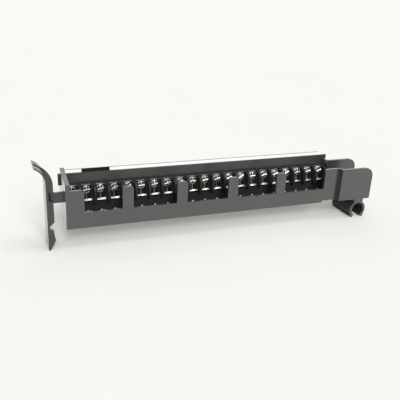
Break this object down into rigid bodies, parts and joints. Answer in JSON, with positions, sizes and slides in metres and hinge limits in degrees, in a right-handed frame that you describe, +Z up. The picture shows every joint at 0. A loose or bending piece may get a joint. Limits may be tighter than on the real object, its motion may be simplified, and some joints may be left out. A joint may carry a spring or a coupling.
{
  "type": "field wiring arm",
  "caption": "Long swing arm with a row of barrier screw terminals, a wire duct with open windows, a label rail, a sprung latch at one end and a pivot clip at the other.",
  "frame": {"origin": "under the middle of the arm, on the surface it stands on", "axes": "+X along the arm from the latch to the pivot clip, +Y from the wire windows to the label rail, +Z up"},
  "size_m": [0.251, 0.0344, 0.0573],
  "materials": {
    "housing_plastic": "smooth moulded, semi-gloss",
    "latch_plastic": "smooth moulded, semi-gloss",
    "rail_plastic": "fine moulded grain",
    "block_plastic": "moulded phenolic",
    "label_stock": "plain card",
    "pin_steel": "drawn wire",
    "spring_steel": "drawn wire",
    "screw_plating": "nickel plated",
    "contact_plating": "tin plated",
    "clamp_plating": "nickel plated"
  },
  "bodies": {
    "arm": {"housing": "housing_plastic", "terminal_block": "block_plastic", "label_rail": "rail_plastic", "label_strip": "label_stock", "latch_pin": "pin_steel", "latch_spring": "spring_steel", "terminal_screws": "screw_plating", "contact_tails": "contact_plating", "contact_01": "contact_plating", "contact_02": "contact_plating", "contact_03": "contact_plating", "contact_04": "contact_plating", "contact_05": "contact_plating", "contact_06": "contact_plating", "contact_07": "contact_plating", "contact_08": "contact_plating", "contact_09": "contact_plating", "contact_10": "contact_plating", "contact_11": "contact_plating", "contact_12": "contact_plating", "contact_13": "contact_plating", "contact_14": "contact_plating", "contact_15": "contact_plating", "contact_16": "contact_plating", "contact_17": "contact_plating", "contact_18": "contact_plating", "contact_19": "contact_plating", "contact_20": "contact_plating", "contact_21": "contact_plating", "wire_clamp_01": "clamp_plating", "wire_clamp_02": "clamp_plating", "wire_clamp_03": "clamp_plating", "wire_clamp_04": "clamp_plating", "wire_clamp_05": "clamp_plating", "wire_clamp_06": "clamp_plating", "wire_clamp_07": "clamp_plating", "wire_clamp_08": "clamp_plating", "wire_clamp_09": "clamp_plating", "wire_clamp_10": "clamp_plating", "wire_clamp_11": "clamp_plating", "wire_clamp_12": "clamp_plating", "wire_clamp_13": "clamp_plating", "wire_clamp_14": "clamp_plating", "wire_clamp_15": "clamp_plating", "wire_clamp_16": "clamp_plating", "wire_clamp_17": "clamp_plating", "wire_clamp_18": "clamp_plating", "wire_clamp_19": "clamp_plating", "wire_clamp_20": "clamp_plating", "wire_clamp_21": "clamp_plating"},
    "latch": {"latch_lever": "latch_plastic"}
  },
  "joints": [
    {"name": "latch_pivot", "type": "hinge", "parent": "arm", "child": "latch", "pos_m": [-0.10174, -0.00405, 0.0331], "axis": [0, 1, 0], "range_deg": [0, 12], "stiffness_Nm_per_rad": 0.4, "springref_deg": -5.73}
  ]
}
